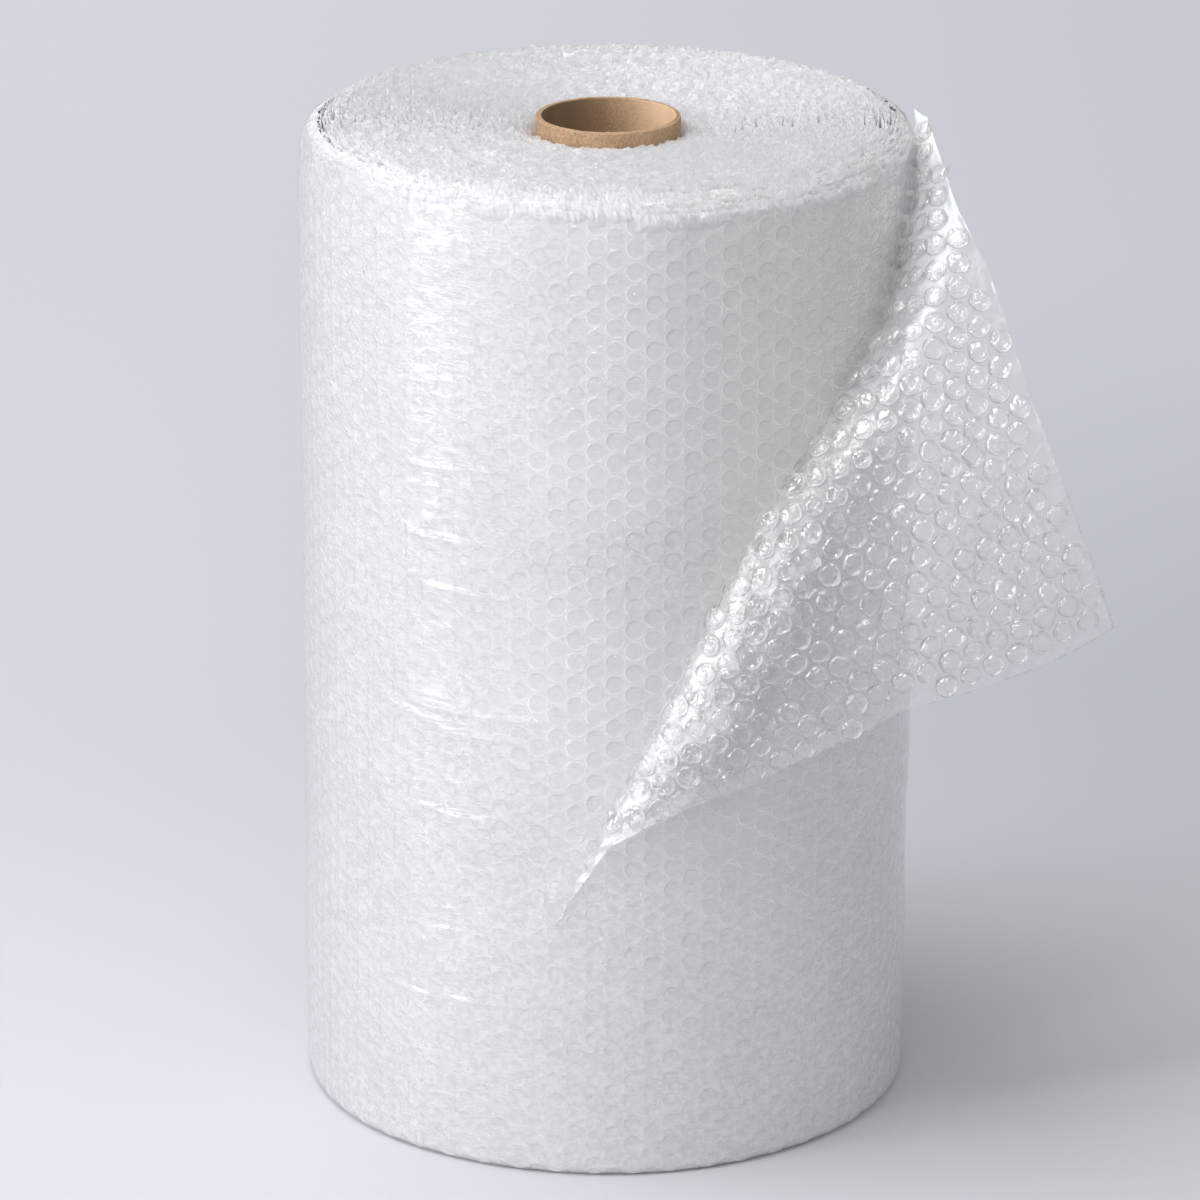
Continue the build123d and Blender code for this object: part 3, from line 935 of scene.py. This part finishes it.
class BUBBLEWRAP_OT_wound_web(bpy.types.Operator):
    """Makes the mass of the roll and the bubbles of its outer turn."""

    bl_idname = "bubblewrap.wound_web"
    bl_label = "Wound Web"

    def execute(self, context):
        options = context.scene.film_settings
        film = shared_materials(options)["wound_film"]
        segments = 160
        # Radius and height, all inside the bubbles and the edges on the top end
        profile = [(36.0, 0.6), (90, 0.6), (138, 0.6), (144, 3), (144.5, 120), (144.5, 300), (144, 470)]
        profile += [(144 - 14 * (1 - math.cos(t)), 474 + 14 * math.sin(t)) for t in np.linspace(0.3, 1.5, 5)]
        profile += [(122, 492), (100, 491), (75, 488.5), (55, 486), (36.0, 484.5)]
        angles = np.arange(segments) * math.tau / segments
        points = np.concatenate([polar(angles, radius, height) for radius, height in profile])
        mass = new_object("wound_layers", points, ring_faces(len(profile), segments, closed=True))
        store(mass, OUTWARD, [list(v.normal) for v in mass.data.vertices], "FLOAT_VECTOR")
        mass.data.materials.append(film)
        finish_piece(mass, ["bubble_wrap"])

        carrier = roll_carrier()
        cell = cup_cell(options)
        tree = cup_tree()
        columns = 100
        step = AROUND * MM / columns
        for part, name in enumerate(("roll_bubbles_left", "roll_bubbles_right")):
            bake_tree(name, tree, {
                "Cell": cell, "Surface": carrier, "Material": film, "Columns": columns // 2, "Rows": 47,
                "First Column": part * columns // 2, "Column Step": step, "Row Step": options.bubble_pitch,
                "Cell Width": step / (options.bubble_pitch * math.sqrt(0.75)), "Least Depth": 0.6,
                "Crumple": 0.0006, "Seed": part + 1})
        for spare in (carrier, cell):
            bpy.data.objects.remove(spare)
        return {"FINISHED"}


def wrinkles(along, up, azimuth):
    """Height of the wrinkles in the roll's outer film, mostly level and on the left."""
    height = np.zeros_like(along)
    for points, width, rise in LONG_WRINKLES:
        first, last = points[0][0], points[-1][0]
        level = np.interp(azimuth, [a for a, z in points], [z for a, z in points])
        beyond = np.clip(np.maximum(first - azimuth, azimuth - last), 0, None) / 2.5
        height += rise * np.exp(-beyond**2 - ((up - level) / width) ** 2)
    rng = np.random.default_rng(21)
    for _ in range(SHORT_WRINKLES):
        place = rng.normal(-28, 26) if rng.random() < 0.6 else rng.uniform(-180, 180)
        centre = math.radians(place - SEAM_AZIMUTH) * ROLL_RADIUS
        level, length, width = rng.uniform(20, 480), rng.uniform(4, 12), rng.uniform(1.1, 1.7)
        rise, tilt = rng.uniform(0.2, 0.6), rng.normal(0, 0.14)
        x = (along - centre + AROUND / 2) % AROUND - AROUND / 2
        y = up - level - tilt * x
        near = (np.abs(x) < 2 * length) & (np.abs(y) < 3 * width)
        height[near] += rise * np.exp(-(x[near] / length) ** 2 * 1.5 - (y[near] / width) ** 2)
    return height


class BUBBLEWRAP_OT_skin(bpy.types.Operator):
    """Makes the clear outer film over the bubbles of the roll."""

    bl_idname = "bubblewrap.skin"
    bl_label = "Outer Film"

    def execute(self, context):
        columns, rows = 150, 620
        along, up = np.meshgrid(np.linspace(0, AROUND, columns + 1)[:-1],
                                np.linspace(1, SIDE_LENGTH + SHOULDER * 0.75, rows))
        azimuth = (azimuth_along(along) + 180) % 360 - 180
        points, _ = roll_points(along, up, 0.85 + wrinkles(along, up, azimuth))
        skin = new_object("outer_film", points.reshape(-1, 3), ring_faces(rows, columns))
        sheen = 0.3 + 0.3 * smooth_step(-8, -32, azimuth) * smooth_step(-140, -60, azimuth)
        store(skin, SHEEN, sheen + 0.25 * smooth_step(30, 60, azimuth))
        skin.data.materials.append(shared_materials(context.scene.film_settings)["skin_film"])
        finish_piece(skin)
        return {"FINISHED"}


class BUBBLEWRAP_OT_top_end(bpy.types.Operator):
    """Makes the crumpled edges of the wound web on the top end."""

    bl_idname = "bubblewrap.top_end"
    bl_label = "Wound Edges"

    def execute(self, context):
        materials = shared_materials(context.scene.film_settings)
        tree = ruffle_tree()
        for name, offset, wave, beat, seed in (
            ("edge_of_flat_film", 0.0, 0.0042, 0.0004, 1.3), ("edge_of_bubbles", 0.5, 0.0050, 0.0014, 5.1),
        ):
            bake_tree(name, tree, {
                "Material": materials["edge_film"], "Points": 15000, "Rows": 4, "Turn Offset": offset, "Wave": wave,
                "Bubble Wave": beat, "Seed": seed, "Turn Pitch": 0.0035})
        return {"FINISHED"}


def corner_grid(rows=150, columns=120):
    """Points of the folded corner in rows up its height, their places on the flat web and their room to the edge."""
    low = np.linspace(CORNER_FOOT + 4, CORNER_HEIGHT, rows // 2, endpoint=False)
    corner = Corner(np.concatenate([low, np.linspace(CORNER_HEIGHT, TOP_EDGE, rows - rows // 2)]))
    arc = corner.arc[:, None]
    shares = np.linspace(0, 1, columns)
    bend_part = np.minimum(shares / BEND_COLUMNS, 1)[None] * np.minimum(corner.arc, corner.width)[:, None]
    flat_part = np.clip((shares - BEND_COLUMNS) / (1 - BEND_COLUMNS), 0, 1)[None]
    width = bend_part + flat_part * np.clip(corner.width - corner.arc, 0, None)[:, None]
    points = corner.points(width)
    outward = np.cross(np.gradient(points, axis=1), np.gradient(points, axis=0))
    outward = outward / np.maximum(np.linalg.norm(outward, axis=-1, keepdims=True), 1e-9)
    places = np.stack([corner.end[:, None] - arc + width,
                       np.broadcast_to(corner.round_curl[:, None], width.shape)], -1)
    room = np.full(width.shape, 1e9)
    for point in places[:, -1]:
        room = np.minimum(room, np.hypot(places[..., 0] - point[0], places[..., 1] - point[1]))
    room = np.minimum(room, places[-1, 0, 1] - places[..., 1])
    room = np.minimum(room, width - 2)
    return points, outward, places, np.where(arc < 14, -1, room)


class BUBBLEWRAP_OT_corner(bpy.types.Operator):
    """Makes the folded corner: its clear film and its bubbles."""

    bl_idname = "bubblewrap.corner"
    bl_label = "Folded Corner"

    def execute(self, context):
        materials = shared_materials(context.scene.film_settings)
        points, outward, places, room = corner_grid()
        rows, columns = points.shape[:2]
        x, y, z = places[..., 0], places[..., 1], points[..., 2]
        near_edge = np.clip(1 - room / 9, 0, 1)
        crinkle = layered_noise(x, y, (9, 9, 31, 0.35), (4, 4, 32, 0.22))
        crinkle = crinkle + hash_noise(x / 3, y / 3, 33) * 0.7 * near_edge + hash_noise(x / 40, y / 30, 34) * 0.8
        at_tip = 1 - smooth_step(190, 250, z)
        crinkle = crinkle + at_tip * layered_noise(x, y, (2.6, 2.6, 35, 0.55), (6, 5, 36, 0.5))
        points = points + outward * crinkle[..., None]
        points[..., 2] = np.clip(points[..., 2], 1, HIGHEST)
        z = points[..., 2]

        carrier = new_carrier("corner_carrier", points, outward, places)
        store(carrier, FREE, room * MM)

        count = rows * columns
        quads = grid_faces(rows, columns)
        border = list(range(columns)) + [r * columns + columns - 1 for r in range(1, rows)]
        border += [(rows - 1) * columns + c for c in range(columns - 2, -1, -1)]
        border += [r * columns for r in range(rows - 2, 0, -1)]
        walls = [(border[k - 1] + count, border[k] + count, border[k], border[k - 1]) for k in range(len(border))]
        faces = np.concatenate([quads, quads[:, ::-1] + count, np.array(walls)])
        sides = [(points + outward * shift).reshape(-1, 3) for shift in (FILM_HALF, -FILM_HALF)]
        film = new_object("flap_sheet", np.concatenate(sides), faces)
        border_weld = np.clip(1 - np.abs(room - 0.4) / 2.2, 0, 1) * smooth_step(150, 240, z)
        border_weld = border_weld * np.clip(0.72 + hash_noise(x / 4, y / 4, 37) * 0.8, 0, 1)
        border_weld = np.maximum(border_weld, 0.85 * smooth_step(468, 488, z))
        sheen = smooth_step(150, 250, z) * (1 - 0.75 * smooth_step(320, 400, z))
        store(film, WELD, np.tile(border_weld.ravel(), 2))
        store(film, SHEEN, np.tile(sheen.ravel(), 2))
        film.data.materials.append(materials["flap_film"])
        finish_piece(film)

        segments = 20
        # Radius, height and weld of each ring
        rings = [(5.8, 0.0, 1.0), (5.6, 1.1, 0.5), (5.1, 2.2, 0.1), (4.0, 3.05, 0.0), (2.1, 3.5, 0.0)]
        angles = np.arange(segments) * math.tau / segments
        parts = [disc_ring(angles, radius, height) for radius, height, _ in rings] + [[(0, 0, 3.65), (0, 0, 0)]]
        top = len(rings) * segments
        faces = ring_faces(len(rings), segments) + fan_faces(top - segments, segments, top)
        faces += [(second, first, tip) for first, second, tip in fan_faces(0, segments, top + 1)]
        bubble = new_object("bubble_cell", np.concatenate(parts), faces)
        store(bubble, WELD, np.append(np.repeat([weld for _, _, weld in rings], segments), (0.0, 0.0)))

        bake_tree("flap_bubbles", cap_tree(), {
            "Bubble": bubble, "Surface": carrier, "Material": materials["bubble_film"], "Reach": 26,
            "Pitch": FLAP_PITCH * MM, "Row Angle": FLAP_ROW_ANGLE, "Margin": 0.0053, "Least Height": 0.5,
            "Crumple": 0.0030, "Seed": 3})
        for spare in (carrier, bubble):
            bpy.data.objects.remove(spare)
        return {"FINISHED"}


class BUBBLEWRAP_OT_studio(bpy.types.Operator):
    """Makes the floor, the backdrop, the lights and the camera."""

    bl_idname = "bubblewrap.studio"
    bl_label = "Studio"

    def execute(self, context):
        options = context.scene.studio_settings
        scene = context.scene
        near, far, half_width, curve, wall = -6000, 3600, 5000, 1500, 6000
        rows = [(near, 0), (far, 0)]
        rows += [(far + curve * math.sin(t), curve - curve * math.cos(t)) for t in np.linspace(0.15, math.pi / 2, 14)]
        rows += [(far + curve, wall)]
        points = [(x, y, z) for y, z in rows for x in (-half_width, half_width)]
        faces = [(2 * k, 2 * k + 1, 2 * k + 3, 2 * k + 2) for k in range(len(rows) - 1)]
        sweep = new_object("studio_floor", points, faces)
        nodes = new_material("studio_floor")
        x, y, _ = nodes.split(nodes.place())
        right = nodes.ramp(x, -0.45, 0.55)
        # Painted light and shade on the backdrop: its glow is lighter on the left and darker on the right
        low = nodes.mix(right, colour(215, 218, 225), colour(178, 181, 189))
        upper = nodes.mix(right, colour(211, 214, 221), colour(199, 202, 209))
        # Painted shade: the floor's colour darkens towards the right
        ground = nodes.mix(right, tinted(options.floor_colour), tinted(options.floor_colour, 0.88))
        floor = nodes.get("ShaderNodeBsdfDiffuse", {"Color": ground})
        glow = nodes.get("ShaderNodeEmission", {"Color": nodes.mix(nodes.ramp(y, 0.3, 1.5), low, upper)})
        light_path = nodes.outputs("ShaderNodeLightPath")
        seen = nodes.math("ADD", light_path["Is Camera Ray"],
                          light_path["Is Glossy Ray"] + light_path["Is Transmission Ray"], clamp=True)
        nodes.surface(nodes.blend(nodes.ramp(y, 0.05, 0.6) * seen, floor, glow))
        sweep.data.materials.append(bpy.data.materials["studio_floor"])

        world = bpy.data.worlds.new("studio")
        scene.world = world
        world.use_nodes = True
        world.node_tree.nodes.clear()
        sky = Tree(world.node_tree)
        sky.surface(sky.get("ShaderNodeBackground", {
            "Color": (0.985, 0.98, 0.995, 1.0), "Strength": options.fill_strength}), "ShaderNodeOutputWorld")

        for name, place, target, size, power, tint in (
            ("key", (-1.98, -1.1, 0.8), (0, 0, 0.28), (0.85, 1.4), options.key_power, (0.99, 0.99, 1.0)),
            ("top", (-0.5, -0.2, 2.4), (0, 0, 0.4), (1.2, 1.2), options.key_power, (1.0, 1.0, 1.0)),
            ("spark", (-0.7, -1.1, 2.2), (0, 0, 0.3), (0.3, 0.3), options.spark_power, (1.0, 1.0, 1.0)),
        ):
            lamp = bpy.data.lights.new(name, "AREA")
            lamp.shape = "RECTANGLE"
            lamp.size, lamp.size_y = size
            lamp.energy = power
            lamp.color = tint
            item = bpy.data.objects.new(name, lamp)
            item.location = place
            item.rotation_euler = (Vector(target) - Vector(place)).to_track_quat("-Z", "Y").to_euler()
            scene.collection.objects.link(item)

        lens = bpy.data.cameras.new("view")
        lens.lens = CAMERA_LENS
        lens.sensor_width = 36
        lens.clip_end = 100
        camera = bpy.data.objects.new("view", lens)
        camera.location = CAMERA_PLACE
        turned = Matrix.Identity(3)
        for angle, axis in ((CAMERA_YAW, "Z"), (90 - CAMERA_PITCH, "X"), (CAMERA_ROLL, "Z")):
            turned = turned @ Matrix.Rotation(math.radians(angle), 3, axis)
        camera.rotation_euler = turned.to_euler("XYZ")
        scene.collection.objects.link(camera)
        scene.camera = camera
        scene.view_settings.view_transform = "Standard"
        return {"FINISHED"}


class BUBBLEWRAP_PT_sidebar(bpy.types.Panel):
    """Lists the roll's settings and steps."""

    bl_label = "Bubble Wrap Roll"
    bl_idname = "BUBBLEWRAP_PT_sidebar"
    bl_space_type = "VIEW_3D"
    bl_region_type = "UI"
    bl_category = "Bubble Wrap"

    def draw(self, context):
        for settings in (context.scene.film_settings, context.scene.studio_settings):
            for name in settings.bl_rna.properties.keys():
                if name not in ("rna_type", "name"):
                    self.layout.prop(settings, name)
        for operator in OPERATORS:
            self.layout.operator(operator.bl_idname)


OPERATORS = (
    BUBBLEWRAP_OT_core, BUBBLEWRAP_OT_wound_web, BUBBLEWRAP_OT_skin, BUBBLEWRAP_OT_top_end, BUBBLEWRAP_OT_corner,
    BUBBLEWRAP_OT_studio,
)
CLASSES = (FilmSettings, StudioSettings) + OPERATORS + (BUBBLEWRAP_PT_sidebar,)


def register():
    """Adds the settings, the steps and the panel to Blender."""
    for item in CLASSES:
        bpy.utils.register_class(item)
    bpy.types.Scene.film_settings = bpy.props.PointerProperty(type=FilmSettings)
    bpy.types.Scene.studio_settings = bpy.props.PointerProperty(type=StudioSettings)


def unregister():
    """Takes them out again."""
    del bpy.types.Scene.film_settings
    del bpy.types.Scene.studio_settings
    for item in reversed(CLASSES):
        bpy.utils.unregister_class(item)


def main():
    """Builds the roll and its studio."""
    register()
    for operator in OPERATORS:
        category, step = operator.bl_idname.split(".")
        getattr(getattr(bpy.ops, category), step)()


if __name__ == "__main__":
    main()
